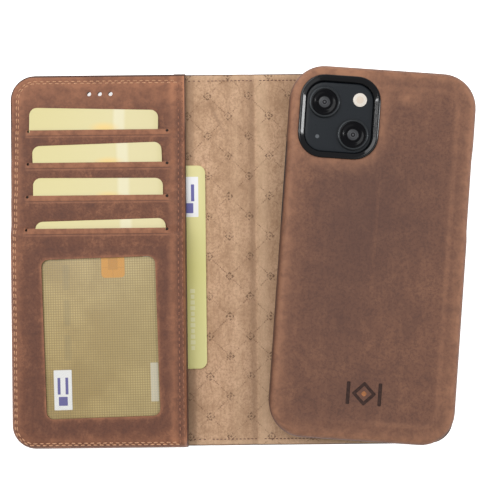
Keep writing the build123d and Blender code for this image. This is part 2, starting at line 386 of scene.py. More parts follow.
def leather_material(name, base, warm, dark, seed=0.0, blotchy=1.0):
    """Waxed pull-up leather: mottled brown with fine streaks, paler where it is bent or rubbed and where a
    highlight is painted, darker in its darker patches and where a shade is painted.
    """
    n = Nodes(name)
    place = n.mapping(shift=(seed, seed * 0.7, 0))
    clouds = n.noise(85, 6, 0.68, place, 0.7)
    blotches = n.noise(240, 6, 0.66, place, 0.3)
    fine = n.noise(1000, 5, 0.7, place)
    streaks = n.noise(1.0, 6, 0.65, n.mapping(scale=(420, 60, 60), shift=(seed, 0, 0)), 0.6)
    slanting = n.mapping(scale=(900, 130, 60), turn=(0, 0, 0.35), shift=(seed, 0, 0))
    scratches = n.noise(1.0, 4, 0.6, slanting, 0.8)
    tone = n.layers(base, (
        (clouds, 0.50, 0.72, 0.60 * blotchy, warm),
        (clouds, 0.50, 0.32, 0.60 * blotchy, dark),
        (blotches, 0.46, 0.74, 0.30, warm),
        (streaks, 0.50, 0.74, 0.36, dark),
        (streaks, 0.46, 0.28, 0.22, warm),
        (fine, 0.46, 0.60, 0.52, dark),
        (scratches, 0.70, 0.80, 0.35, warm),
    ))
    deep = n.attribute("deep")
    # deep: darker patches, painted shade in pressed lines and along the case's sides, and above 1 the edge
    # paint
    tone = n.tint(tone, n.least(deep, 1.0), 0.75, dark)
    # wear: paler bent or rubbed leather, and painted highlights on the slots' lips and the case's shoulder
    rubbed_and_highlight = n.times(n.attribute("wear_and_highlight"), n.plus(0.45, n.times(n.fade(blotches, 0.32, 0.60), 0.55)))
    tone = n.mix(n.least(rubbed_and_highlight, 1.0), tone, scaled(warm, 1.18))
    tone = n.layers(tone, ((deep, *PAINTED),))
    normal = n.bump(n.voronoi(1500, place), 0.00006, 0.35)
    normal = n.bump(fine, 0.00016, 0.5, normal)
    normal = n.bump(streaks, 0.0003, 0.3, normal)
    return n.finish(tone, n.plus(0.52, n.times(fine, 0.22)), normal, Specular_IOR_Level=0.32)


def speckled_material(name, colour, factor, grain, roughness, depth, strength, **constants):
    """One colour with fine specks of the same colour times factor."""
    n = Nodes(name)
    fine = n.noise(grain, 3)
    tone = n.mix(n.fade(fine, 0.35, 0.7), colour, scaled(colour, factor))
    return n.finish(tone, roughness, n.bump(fine, depth, strength), **constants)


def paint_material(name, colour):
    return speckled_material(name, colour, 1.5, 700, 0.55, 0.0002, 0.3, Specular_IOR_Level=0.2)


def thread_material(name, colour):
    return speckled_material(name, colour, 0.55, 2600, 0.7, 0.0001, 0.5, Sheen_Weight=0.1)


LATTICE_PITCH = (17.2, 16.9)                # across and along, in millimetres
LATTICE_SHIFT = (0.0011, 0.0069)


def lattice_lines(n, across, along):
    """Two sets of fine dashed diagonals, as a 0 to 1 mask."""
    lines = []
    for sign in (1, -1):
        run = n.plus(across, n.times(along, sign))
        offset = n.size(n.minus(n.math("FRACT", run), 0.5))
        line = n.inverse(n.fade(n.minus(0.5, offset), 0.006, 0.030))
        dashes = n.minus(across, n.times(along, sign))
        dash = n.fade(n.math("FRACT", n.times(dashes, 14.0)), 0.25, 0.45)
        lines.append(n.times(line, dash))
    return n.most(*lines)


def lattice(n):
    """Diagonal lattice and the small marks at its nodes, as two 0 to 1 masks."""
    across, along = (
        n.math("DIVIDE", n.plus(value, shift), pitch * MM)
        for value, shift, pitch in zip(n.split(n.coords), LATTICE_SHIFT, LATTICE_PITCH)
    )
    lines = lattice_lines(n, across, along)
    # marks: small rings of four bars round a dot
    u = n.minus(n.math("FRACT", n.plus(n.plus(across, along), 0.5)), 0.5)
    v = n.minus(n.math("FRACT", n.plus(n.minus(across, along), 0.5)), 0.5)
    x = n.size(n.times(n.plus(u, v), 0.5 * LATTICE_PITCH[0]))
    y = n.size(n.times(n.minus(u, v), 0.5 * LATTICE_PITCH[1]))
    far = n.plus(x, y)
    ring = n.inverse(n.fade(n.size(n.minus(far, 1.55)), 0.25, 0.50))
    gaps = n.fade(n.size(n.minus(x, y)), 0.15, 0.45)
    dot = n.inverse(n.fade(far, 0.40, 0.75))
    return n.times(lines, n.fade(far, 2.0, 2.5)), n.most(n.times(ring, gaps), dot)


def lining_material():
    """Tan napped microfibre with a debossed lattice."""
    n = Nodes("suede_lining")
    lines, marks = lattice(n)
    nap = n.noise(1100, 5, 0.75)
    brushed = n.noise(1.0, 5, 0.7, n.mapping(scale=(760, 150, 100)), 0.8)
    spots = n.noise(380, 5, 0.70, None, 0.8)
    worn = n.fade(n.noise(330, 5, 0.7), 0.44, 0.60)
    pale, mid, deep = (0.68, 0.44, 0.285), (0.56, 0.355, 0.22), (0.38, 0.225, 0.132)
    tone = n.ramp(n.noise(70, 5, 0.6, None, 0.6), [(0.30, deep), (0.48, mid), (0.66, pale)])
    tone = n.layers(tone, (
        (spots, 0.40, 0.70, 0.45, pale),
        (nap, 0.46, 0.58, 0.60, deep),
        (brushed, 0.51, 0.66, 0.50, deep),
        (brushed, 0.45, 0.30, 0.45, pale),
    ))
    shade = n.attribute("shade")
    # painted shade: fold valleys, the crease and the shadows of the panel and the case
    tone = n.tint(tone, n.least(shade, 1.0), 0.60, (0.30, 0.18, 0.11))
    # painted highlight beside the fold and over the spine, and the paler margin
    tone = n.tint(tone, n.attribute("light"), 0.5, (0.70, 0.48, 0.31))
    tone = n.tint(tone, n.times(lines, worn), 0.85, (0.21, 0.115, 0.065))
    tone = n.tint(tone, n.times(marks, n.fade(nap, 0.40, 0.54)), 0.78, (0.13, 0.075, 0.045))
    tone = n.layers(tone, ((shade, *PAINTED),))
    pressed = n.inverse(n.most(n.times(lines, 0.6), marks))
    wrinkles = n.noise(1.0, 4, 0.6, n.mapping(scale=(420, 240, 200)), 1.2)
    normal = n.bump(wrinkles, 0.0007, 0.5)
    normal = n.bump(nap, 0.00012, 0.5, normal)
    normal = n.bump(pressed, 0.00012, 0.6, normal)
    return n.finish(tone, 0.9, normal, Sheen_Weight=0.25, Sheen_Roughness=0.5, Specular_IOR_Level=0.15)


def plain_material(name, colour, roughness, grain, depth, strength, **constants):
    """Moulded, plated or printed surface: slight colour drift and a fine texture."""
    n = Nodes(name)
    fine = n.noise(grain, 3)
    tone = n.tint(colour, n.noise(40, 3), 0.25, scaled(colour, 1.35, 0.004))
    rough = n.plus(roughness, n.times(n.minus(fine, 0.5), 0.12))
    return n.finish(tone, rough, n.bump(fine, depth, strength), **constants)


wallet_leather = leather_material(
    "wallet_leather", (0.178, 0.071, 0.041), (0.410, 0.176, 0.092), (0.108, 0.046, 0.033),
)
case_leather_look = leather_material(
    "case_leather_look", (0.186, 0.085, 0.053), (0.315, 0.150, 0.085), (0.100, 0.048, 0.037), 3.3, 0.70,
)
edge_paint = paint_material("edge_paint", (0.066, 0.033, 0.023))
suede = lining_material()
tan_thread = thread_material("tan_thread", (0.70, 0.36, 0.20))
brown_thread = thread_material("brown_thread", (0.15, 0.062, 0.042))
red_thread = thread_material("red_thread", (0.40, 0.165, 0.09))

# ---- sheets built on a grid -------------------------------------------------------------------


def outline_inset(y):
    """How far a rounded corner pulls the outline in at height y."""
    into = abs(y) - (outer_y - corner_radius)
    if into <= 0:
        return 0.0
    return corner_radius - math.sqrt(max(corner_radius * corner_radius - into * into, 0.0))


def corner_rows():
    """Y values round the upper corners, from the top edge down."""
    turns = [math.sin(math.radians(90 * k / corner_steps)) for k in range(corner_steps, 0, -1)]
    return [outer_y - corner_radius * (1 - turn) for turn in turns]


def cover_rows(step):
    """Y values from the top edge to the bottom one, dense round the corners."""
    corner = corner_rows()
    straight = outer_y - corner_radius
    count = int(2 * straight / step)
    middle = [straight - 2 * straight * k / count for k in range(count + 1)]
    return corner + middle + [-y for y in reversed(corner)]


def merge_values(values, extra, gap):
    """Sorted values with the extra ones put in, and anything closer than gap to them left out."""
    kept = [v for v in values if min(abs(v - e) for e in extra) > gap]
    return sorted(set(kept + list(extra)))


def slab(name, columns, rows, bottom, top, materials, side):
    """Closed slab from the level bottom up to the surface top, a function of x and y.
    columns are distances from the seam at x = 0 outwards; side is -1 or 1."""
    reach = columns[-1]
    verts = []
    for level in (top, lambda x, y: bottom):
        for y in rows:
            edge = reach - outline_inset(y)
            for c in columns:
                x = c
                if c > straight_x:
                    x = straight_x + (c - straight_x) * (edge - straight_x) / (reach - straight_x)
                verts.append((side * x, y, level(side * x, y)))
    nx, ny = len(columns), len(rows)
    base = nx * ny
    faces, edges = [], []
    for j in range(ny - 1):
        for i in range(nx - 1):
            a, b, c, d = j * nx + i, j * nx + i + 1, (j + 1) * nx + i + 1, (j + 1) * nx + i
            faces += [(a, d, c, b), (base + a, base + b, base + c, base + d)]
    sheet_faces = len(faces)
    last = base - nx
    for i in range(nx - 1):
        edges += [(i, i + 1), (last + i + 1, last + i)]
    for j in range(ny - 1):
        a, b = j * nx, (j + 1) * nx
        edges += [(b, a), (a + nx - 1, b + nx - 1)]
    faces += [(a, b, base + b, base + a) for a, b in edges]
    if side < 0:
        faces = [tuple(reversed(face)) for face in faces]
    obj = new_object(name, verts, faces, materials)
    kinds = [0] * sheet_faces + [1] * len(edges)
    obj.data.polygons.foreach_set("material_index", kinds)
    return obj


def edge_distance(x, y):
    """Distance in from the open wallet's outline."""
    return -outside(x, y, (2 * outer_x, 2 * outer_y), corner_radius)


# ---- covers and spine: outer leather and lining -----------------------------------------------
bend = 2.2                    # half width of the zone that bends at a fold line
lower_hole_margin = 0.7       # the speaker holes are wider under the card panel
crease_place = (-6.0, 60.0)   # middle and direction of the slanting crease in the lining
crease_direction = (0.43, -0.90)


def half_columns(extra=()):
    """Distances from the seam to the outer edge, dense over the fold and at the edge."""
    plain = [1.9 * k for k in range(0, 49)]
    special = [fold_x + bend * k / 5 for k in range(-6, 7)]
    special += [0.0, outer_x - 0.45, outer_x - 0.3, outer_x, *extra]
    return merge_values([v for v in plain if v < outer_x - 0.6], special, 0.3)


def hole_cutters(margin):
    """Cutters for the speaker holes, each wider than its hole by the margin all round."""
    cutters = []
    for x in hole_xs:
        outline = circle_outline((x, hole_y), hole_radius + margin)
        cutters.append(prism("hole", outline, -1, 10, edge_paint))
    return cutters


def window_cutter():
    """Cutter for the camera window in the back cover."""
    x, y, width, height, radius = camera_window
    return prism("window", rounded_outline((width, height), radius, (x, y)), -1, 10, edge_paint)


def along_crease(x, y, length):
    """Place along the slanting crease, -1 to 1 over its length, and distance from its line."""
    dx, dy = x - crease_place[0], y - crease_place[1]
    along = (dx * crease_direction[0] + dy * crease_direction[1]) / length
    return along, dx * -crease_direction[1] + dy * crease_direction[0]


def lining_relief(x, y):
    """Lining's surface: soft creases over the spine, a slanting one, and the edge rolled down."""
    wave = 0.10 * math.sin(y / 17.0) + 0.06 * math.sin(y / 7.3 + x / 5)
    dip = 0.0
    for place, sway, depth, width in ((8.6, 1, 0.28, 1.5), (-1.0, 1, 0.16, 1.3), (-9.4, -1, 0.20, 1.4)):
        dip += depth * math.exp(-(((x - place - sway * wave) / width) ** 2))
    along, across = along_crease(x, y, 18.0)
    if abs(along) < 1:
        dip += 0.30 * (1 - along * along) * math.exp(-((across / 0.8) ** 2))
    near_edge = min(outer_y - abs(y), outer_x - abs(x))
    if near_edge < 1.2:
        dip += 0.35 * (1 - near_edge / 1.2) ** 2
    return lining_top - dip


def lining_shade(x, y, z):
    """Painted shade on the lining: in the fold valleys and the slanting crease, and painted shadows beside
    the pocket and beside the case; 2.2 marks the edge-painted outline.
    """
    # painted shade in the fold valleys
    shade = 1.0 * bell(x, 8.9, 1.3) * (x < 10.2)
    shade += 0.35 * bell(x, 5.6, 3.0)
    shade += 0.25 * bell(x, -1.0, 1.4)
    # painted shadow cast by the card panel's raised edge
    shade += 1.0 * smooth((-14.8 - x) / 1.8)
    # painted shadow cast by the case
    shade += 0.45 * smooth((from_case(x, y)[0] + 46.0) / 8.0)
    # painted shade in the slanting crease
    along, across = along_crease(x, y, 11.0)
    shade += 0.9 * bell(across, 0.0, 0.7) * (np.abs(along) < 1) * (1 - along ** 2)
    return np.where(edge_distance(x, y) < 0.4, 2.2, np.clip(shade, 0, 1))


def lining_light(x, y, z):
    """Paler lining: a painted highlight beside the fold and over the spine, and the margin's own paler
    colour.
    """
    # painted highlight on the lit side of the fold and over the spine
    light = 1.0 * bell(x, 13.0, 2.8) * smooth((x - 10.0) / 0.6)
    light += 0.35 * bell(x, 2.0, 1.8)
    # the margin's own paler colour
    light += 0.6 * smooth((2.5 - edge_distance(x, y)) / 0.5)
    return np.clip(light, 0, 1)


def cover_wear(x, y, z):
    """Paler outer leather along the edges and the fold lines."""
    return 0.9 * np.exp(-edge_distance(x, y) / 1.6) + 0.35 * bell(np.abs(x), fold_x, 2.5)


def make_cover(side, nodes, lining_nodes):
    """Outer leather and lining of one half of the wallet, laid flat, with their columns dense over the fold
    line.
    """
    word = "front" if side < 0 else "back"
    leather = slab(
        f"{word}_outer_leather", half_columns(), cover_rows(2.0),
        0.0, lambda x, y: leather_top, [wallet_leather, edge_paint], side,
    )
    lining = slab(
        f"{word}_suede_lining", half_columns([0.8 * k for k in range(1, 30)]), cover_rows(1.2),
        leather_top, lining_relief, [suede, edge_paint], side,
    )
    for piece, names in ((leather, nodes), (lining, lining_nodes)):
        cut(piece, hole_cutters(lower_hole_margin) if side < 0 else [window_cutter()])
        sharp_by_angle(piece, 40)
        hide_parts(*names)
        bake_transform(piece)
    set_attribute(leather, "wear_and_highlight", cover_wear)
    set_attribute(lining, "shade", lining_shade)
    set_attribute(lining, "light", lining_light)


make_cover(-1, ["front_leather", "spine_leather"], ["front_lining", "spine_lining"])
make_cover(1, ["back_leather", "spine_leather"], ["back_lining", "spine_lining"])

# ---- card panel -------------------------------------------------------------------------------
panel_thickness = 0.42
edge_level = 3.95             # foot of the rounded edge, where the panel meets the lining
open_edge_level = 4.78        # the same beside the spine, over the side pocket
edge_round = 3.6
open_edge_round = 1.6
stitch_inset = 3.0
crease_below = 2.35           # pressed line under each slot's lip
panel_spacing = 0.9
edge_steps = (0, 0.03, 0.12, 0.28, 0.5, 0.8, 1.15, 1.6, 2.1, 2.6, 3.1, 3.6, 4.0, 4.4, 4.8)
lip_steps = (0.5, 0.0, -0.35, -0.8, -1.3, -1.8, -2.1, -2.35, -2.6, -2.9, -3.4)


def margin_level(y):
    """Band level with its steps smoothed out, for the leather beside the slots."""
    level = np.full_like(y, band_tops[0])
    for slot_y, low, high in zip(slot_ys, band_tops, band_tops[1:]):
        level += (high - low) * smooth((slot_y + 3.0 - y) / 6.5)
    return level


def quarter_round(distance, radius):
    """Height of a rounded edge, 0 at the edge and 1 from radius inwards."""
    return np.sqrt(1 - np.clip(1 - distance / radius, 0, 1) ** 2)


def panel_z(x, y, band):
    """Top of the panel's leather over the given band, 0 at the top edge."""
    x, y = np.asarray(x, float), np.asarray(y, float)
    inside = smooth((x - slot_left) / 1.2) * smooth((slot_right - x) / 1.2)
    level = np.array(band_tops)[band] * inside + margin_level(y) * (1 - inside)
    # pressed line under each lip, and a soft unevenness
    for slot_y in slot_ys:
        below = slot_y - y
        lip = (below >= -1e-6) & (below < 4.0)
        level -= np.where(lip, inside * 0.12 * bell(below, crease_below, 0.30), 0)
    level -= 0.03 * (1 + np.sin(x / 9.0 + y / 13.0) * np.sin(y / 8.0 - x / 21.0)) * inside
    # rounded over to the stitched edges and to the open one
    distance, from_open = edge_distance(x, y), panel_right - x
    level = edge_level + (level - edge_level) * quarter_round(distance, edge_round)
    over = quarter_round(from_open, open_edge_round)
    pocket_floor = np.where(x > pocket_right, 4.76, 0)
    level = np.maximum(open_edge_level + (level - open_edge_level) * over, pocket_floor)
    # pressed lines under and beside the stitches
    inland = level > 4.9
    level -= 0.36 * bell(distance, stitch_inset, 0.80) * (x < panel_right - 3)
    level -= 0.22 * bell(distance, stitch_inset + 1.5, 0.3) * (x < panel_right - 3)
    return level - inland * (0.16 * bell(from_open, 4.6, 0.4))


def band_of(y):
    return sum(y < slot_y for slot_y in slot_ys)


def panel_grid():
    """Columns and rows of the panel's leather, dense at its edges and at the slots."""
    columns = [-outer_x + panel_spacing * k for k in range(int((panel_right + outer_x) / panel_spacing) + 1)]
    special = [-outer_x + step for step in edge_steps] + [panel_right - step for step in edge_steps]
    special += [slot_left, slot_left + 0.4, slot_left + 1.2, slot_right - 1.2, slot_right - 0.4, slot_right]
    columns = merge_values(columns, special, 0.28)
    rows = corner_rows()
    rows += [-y for y in rows]
    straight = outer_y - corner_radius
    rows += [straight - panel_spacing * k for k in range(int(2 * straight / panel_spacing) + 1)]
    special = [outer_y, -outer_y] + [slot_y + step for slot_y in slot_ys for step in lip_steps]
    return columns, merge_values(rows, special, 0.16)[::-1]


def panel_sheet():
    """Points and faces of the panel's leather; it is open along each slot."""
    columns, rows = panel_grid()
    verts, faces, index = [], [], {}

    def vertex(j, i, band):
        x, y = columns[i], rows[j]
        at_slit = any(abs(y - slot_y) < 1e-6 for slot_y in slot_ys)
        open_here = at_slit and slot_left + 1e-6 < x < slot_right - 1e-6
        key = (j, i, band if open_here else None)
        if key not in index:
            if x < -straight_x:
                reach = outer_x - outline_inset(y)
                x = -straight_x + (x + straight_x) * (reach - straight_x) / (outer_x - straight_x)
            index[key] = len(verts)
            verts.append((x, y, float(panel_z(x, y, band))))
        return index[key]

    for j in range(len(rows) - 1):
        band = band_of((rows[j] + rows[j + 1]) / 2)
        for i in range(len(columns) - 1):
            places = ((j, i), (j + 1, i), (j + 1, i + 1), (j, i + 1))
            faces.append(tuple(vertex(row, column, band) for row, column in places))
    return verts, faces


def make_panel():
    panel = new_object("panel_leather", *panel_sheet(), [wallet_leather, edge_paint])
    thicken(panel, panel_thickness)
    outline = rounded_outline(window_size, window_radius, window_centre, window_turn)
    cutters = [prism("window", outline, 8, 20, edge_paint)] + hole_cutters(0.0)
    for slot_y, below in zip(slot_ys, band_tops):
        for x in (slot_left + 0.9, slot_right - 0.9):
            punch = circle_outline((x, slot_y - 0.5), 0.62, 16)
            cutters.append(prism("punch", punch, below - 0.2, below + 6, edge_paint))
    cut(panel, cutters)
    sharp_by_angle(panel, 40)
    set_attribute(panel, "wear_and_highlight", panel_wear_and_highlight)
    set_attribute(panel, "deep", panel_deep)
    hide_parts("card_panel")
    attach(panel, "front_cover")


def window_distance(x, y):
    """Distance out from the ID window's edge, negative inside."""
    return outside(*seen_from(x, y, window_centre, window_turn), window_size, window_radius)


def panel_deep(x, y, z):
    """Darker leather: edge paint on the outline and the open edge, painted shade in the pressed lines along
    the stitches and under each lip, and darker round the ID window.
    """
    distance, from_open = edge_distance(x, y), panel_right - x
    deep = 2.2 * (distance < 0.6) + 1.7 * (from_open < 0.3)
    # painted shade in the grooves of the two stitch rows by the open edge
    deep += 0.9 * bell(from_open, 1.2, 0.55) + 0.9 * bell(from_open, 2.9, 0.55)
    # painted shade in the pressed lines under and beside the stitches
    deep += 0.35 * bell(distance, stitch_inset, 1.0) + 0.45 * bell(distance, stitch_inset + 1.5, 0.4)
    across = smooth((x - slot_left) / 1.0) * smooth((slot_right - x) / 1.0)
    # painted shade in the pressed line under each lip
    for slot_y in slot_ys:
        deep += 0.9 * across * bell(slot_y - y, crease_below, 0.3)
    deep += 0.45 * bell(window_distance(x, y), 4.5, 3.0) * (y < 6)
    return np.clip(deep, 0, 2.2)


def panel_wear_and_highlight(x, y, z):
    """Paler leather: pull-up leather lightened at the edges, the slots' lips and the rim of the ID window;
    the thin line just below each lip's crease is a painted highlight.
    """
    distance, from_open = edge_distance(x, y), panel_right - x
    wear_and_highlight = 0.42 * np.exp(-distance / 2.4) + 0.25 * bell(distance, 4.2, 1.2) + 0.35 * bell(y, 71, 8)
    wear_and_highlight += 0.6 * bell(from_open, 0.6, 0.8) + 0.4 * bell(from_open, 5.4, 1.6)
    in_slot = smooth((x - slot_left + 1.0) / 2.0) * smooth((slot_right + 1.0 - x) / 2.0)
    for slot_y in slot_ys:
        below = slot_y - y
        # the lip itself is paler leather; the line 2.9 below the slit is a painted highlight
        wear_and_highlight += in_slot * (0.55 * ((below > -0.05) & (below < 2.2)) + 0.45 * bell(below, 2.9, 0.35))
    return np.clip(wear_and_highlight + 0.5 * bell(window_distance(x, y), 0.2, 0.5), 0, 1)


make_panel()

# ---- stitches ---------------------------------------------------------------------------------
tan_stitch = (tan_thread, 2.6, 2.2, 0.29)           # thread, pitch, length and radius
red_stitch = (red_thread, 2.6, 1.9, 0.28)
brown_stitch = (brown_thread, 1.6, 1.4, 0.17)
seam_inset = 2.7


def stitch_run(points, pitch, shift):
    """Stitch centres and directions along a polyline, in millimetres."""
    lengths = [math.dist(a, b) for a, b in zip(points, points[1:])]
    total = sum(lengths)
    count = max(1, int(total / pitch))
    stitches = []
    for k in range(count):
        target = (k + shift) * total / count
        for (a, b), length in zip(zip(points, points[1:]), lengths):
            if target <= length:
                t = target / length
                angle = math.atan2(b[1] - a[1], b[0] - a[0])
                stitches.append((a[0] + (b[0] - a[0]) * t, a[1] + (b[1] - a[1]) * t, angle))
                break
            target -= length
    return stitches


def stitch_points(x, y, angle, length, radius, height, rings, sides):
    """Points of one stitch: a flattened roll whose ends dip into the surface."""
    angle += random.uniform(-0.10, 0.10)
    half = length / 2 * random.uniform(0.9, 1.05)
    dx, dy = math.cos(angle), math.sin(angle)
    ends = [height(x + sign * dx * half * 0.7, y + sign * dy * half * 0.7) for sign in (-1, 1)]
    points = []
    for r in range(rings + 1):
        t = -1 + 2 * r / rings
        wide = radius * math.sqrt(max(1 - (abs(t) ** 3), 0.02))
        level = ends[0] + (ends[1] - ends[0]) * (t + 1) / 2 + 0.06 - 0.30 * abs(t) ** 3
        for s in range(sides):
            turn = 2 * math.pi * s / sides
            off, up = wide * math.cos(turn), 0.8 * wide * math.sin(turn)
            points.append((x + dx * half * t - dy * off, y + dy * half * t + dx * off, level + up))
    return points


def make_stitches(name, runs, height, body, material, pitch, length, radius):
    """One object of thread stitches lying on a surface; height is a function of x and y."""
    rings, sides = 5, 6
    roll = walls(sides, rings + 1) + caps(sides, rings + 1)
    verts, faces = [], []
    for number, run in enumerate(runs):
        for x, y, angle in stitch_run(run, pitch, (0.3, 0.75)[number % 2]):
            start = len(verts)
            verts += stitch_points(x, y, angle, length, radius, height, rings, sides)
            faces += [tuple(start + corner for corner in face) for face in roll]
    obj = new_object(name, verts, faces, [material])
    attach(obj, body)


def cover_path(inset, x_end, side):
    """Polyline along three sides of one half of the wallet, from the seam side round and back."""
    radius = corner_radius - inset
    middle_x, middle_y = outer_x - inset - radius, outer_y - inset - radius
    points = [(side * x_end, outer_y - inset), (side * middle_x, outer_y - inset)]
    for step in range(1, 9):
        angle = math.radians(90 - 90 * step / 8)
        points.append((side * (middle_x + radius * math.cos(angle)), middle_y + radius * math.sin(angle)))
    return points + [(x, -y) for x, y in reversed(points)]


def panel_surface(x, y):
    return float(panel_z(np.array([x]), np.array([y]), band_of(y))[0])


def parallel(path, offset):
    """The same polyline moved sideways."""
    moved = []
    for index, (x, y) in enumerate(path):
        ahead, behind = path[min(index + 1, len(path) - 1)], path[max(index - 1, 0)]
        angle = math.atan2(ahead[1] - behind[1], ahead[0] - behind[0])
        moved.append((x - math.sin(angle) * offset, y + math.cos(angle) * offset))
    return moved


def seam_rows(x_start, x_end):
    """Two straight runs along the upper and the lower edge."""
    seam_y = outer_y - seam_inset
    return [[(x_start, sign * seam_y), (x_end, sign * seam_y)] for sign in (1, -1)]


border = cover_path(stitch_inset, -panel_right + 3.4, -1)
border_rows = [parallel(border, 0.42), parallel(border, -0.42)]
edge_end = outer_y - 3.0
edge_xs = [panel_right - inset for inset in (1.3, 2.9)]
edge_rows = [[(x, edge_end), (x, -edge_end)] for x in edge_xs]
make_stitches("panel_stitches", border_rows, panel_surface, "front_cover", *tan_stitch)
make_stitches("pocket_edge_stitches", edge_rows, panel_surface, "front_cover", *red_stitch)
back_path = cover_path(seam_inset, fold_x + 1.5, 1)
make_stitches("back_stitches", [back_path], lining_relief, "back_cover", *brown_stitch)
spine_rows = seam_rows(-fold_x + 1.0, fold_x - 1.0)
make_stitches("spine_stitches", spine_rows, lining_relief, "spine", *brown_stitch)
front_rows = seam_rows(panel_right + 1.0, -fold_x - 1.0)
make_stitches("front_lining_stitches", front_rows, lining_relief, "front_cover", *brown_stitch)

# ---- cards ------------------------------------------------------------------------------------
card_size = (53.98, 85.6)
card_radius = 3.18
card_thickness = 0.76
id_card_turn = math.radians(0.9)
print_coat = {"Coat_Weight": 0.2, "Coat_Roughness": 0.25}


def card_frame(n, centre, turn):
    """Coordinates in millimetres from a card's middle, as x and y sockets."""
    place = n.new(
        "Mapping", {"vector_type": "TEXTURE"}, Vector=n.coords, Scale=(MM, MM, MM),
        Location=(centre[0] * MM, centre[1] * MM, 0), Rotation=(0, 0, turn),
    )
    return n.split(place["Vector"])


def patch(n, at, centre, size, soft=0.15, round_off=0.6):
    """Mask of a rounded rectangle in a card's frame."""
    over = []
    for value, middle, width in zip(at, centre, size):
        away = n.size(n.minus(value, middle))
        over.append(n.most(n.minus(away, width / 2 - round_off), 0.0))
    return n.inverse(n.fade(n.length(*over), round_off - soft, round_off + soft))


def patches(n, at, rows, soft, round_off):
    """Mask of several rounded rectangles, each given by its centre and size."""
    mask = None
    for centre, size in rows:
        bar = patch(n, at, centre, size, soft, round_off)
        mask = bar if mask is None else n.most(mask, bar)
    return mask


def print_finish(n, tone, **constants):
    """Smooth printed plastic."""
    return n.finish(tone, 0.42, n.bump(n.noise(2500, 2), 1e-5, 0.2), **constants)


def slot_card_material(number):
    """Pale cream card with a lighter stripe and a faint warm glow low on the part that shows."""
    def look(centre, turn):
        n = Nodes(f"slot_card_{number}_print")
        at = x, y = card_frame(n, centre, turn)
        tone = n.mix(n.fade(x, -27.0, 27.0), (0.685, 0.605, 0.26), (0.725, 0.645, 0.345))
        tone = n.tint(tone, patch(n, at, (10.6, 0.0), (4.6, 90.0), 0.9, 1.0), 0.40, (0.86, 0.83, 0.66))
        glow_x = n.math("DIVIDE", n.minus(x, 4.5), 8.0)
        glow_y = n.math("DIVIDE", n.minus(y, 34.6), 3.6)
        glow = n.inverse(n.fade(n.length(glow_x, glow_y), 0.1, 1.0))
        return print_finish(n, n.tint(tone, glow, 0.8, (0.88, 0.60, 0.17)), **print_coat)
    return look


def label_print(n, at, tone, centre, size):
    """White label with a plain block mark: two indigo bars and a square."""
    (x, y), (width, height) = centre, size
    indigo = (0.10, 0.09, 0.33)
    tone = n.mix(patch(n, at, centre, size, 0.12, 0.3), tone, (0.86, 0.86, 0.86))
    for shift in (-0.22, 0.22):
        bar_centre = (x + shift * width, y + 0.10 * height)
        tone = n.mix(patch(n, at, bar_centre, (width * 0.16, height * 0.42), 0.1, 0.2), tone, indigo)
    return n.mix(patch(n, at, (x, y - 0.28 * height), (width * 0.5, width * 0.5), 0.1, 0.3), tone, indigo)


def id_card_material(centre, turn):
    """Gold card seen through a woven film, with raised bars, a pale stripe and a label."""
    n = Nodes("id_card_print")
    at = card_frame(n, centre, turn)
    tone = n.mix(n.fade(n.noise(60, 4), 0.35, 0.65), (0.40, 0.270, 0.075), (0.53, 0.38, 0.130))
    tone = n.layers(tone, ((at[0], -10.0, 27.0, 0.4, (0.50, 0.40, 0.17)),))
    for value in at:
        wave = n.size(n.minus(n.math("FRACT", value), 0.5))
        tone = n.layers(tone, ((wave, 0.22, 0.42, 0.52, (0.24, 0.165, 0.05)),))
    bars = [((-12.5, 24.0 - 14.5 * group), (2.6, 10.5)) for group in range(4)]
    tone = n.tint(tone, patches(n, at, bars, 0.4, 0.5), 0.30, (0.22, 0.17, 0.07))
    tone = n.tint(tone, patch(n, at, (23.0, -20.0), (3.2, 16.0), 0.2, 0.3), 0.5, (0.75, 0.75, 0.66))
    tone = n.mix(patch(n, at, (21.0, 32.5), (3.2, 1.4), 0.15, 0.3), tone, (0.85, 0.82, 0.62))
    return print_finish(n, label_print(n, at, tone, (-14.9, -22.4), (7.4, 16.5)))


def side_card_material(centre, turn):
    """Olive yellow card with a row of small bars and a label along its free side."""
    n = Nodes("side_card_print")
    at = x, y = card_frame(n, centre, turn)
    stops = [(0.0, (0.66, 0.62, 0.20)), (0.5, (0.62, 0.58, 0.145)), (1.0, (0.70, 0.63, 0.24))]
    tone = n.ramp(n.fade(y, -42.0, 42.0), stops)
    tone = n.layers(tone, ((x, 12.0, 27.0, 0.35, (0.80, 0.76, 0.46)),))
    for row in range(11):
        size = ((2.0, 1.5, 1.8)[row % 3], 1.7)
        line = patch(n, at, (21.2, -10.0 - 2.4 * row), size, 0.15, 0.25)
        tone = n.tint(tone, line, 0.45, (0.86, 0.84, 0.62))
    return print_finish(n, label_print(n, at, tone, (19.75, 29.6), (8.5, 16.9)), **print_coat)


def make_card(name, node, body, turn, material_of):
    """Card in the place of its CAD node; material_of gives its print from its middle and turn."""
    low, high = span(node)
    centre, bottom = ((low[0] + high[0]) / 2, (low[1] + high[1]) / 2), low[2]
    outline = rounded_outline(card_size, card_radius, centre, turn)
    card = prism(name, outline, bottom, bottom + card_thickness, material_of(centre, turn))
    modify(card, "BEVEL", width=0.14 * MM, segments=2, limit_method="ANGLE", angle_limit=math.radians(30))
    card.data.polygons.foreach_set("use_smooth", [True] * len(card.data.polygons))
    sharp_by_angle(card, 50)
    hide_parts(node)
    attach(card, body)


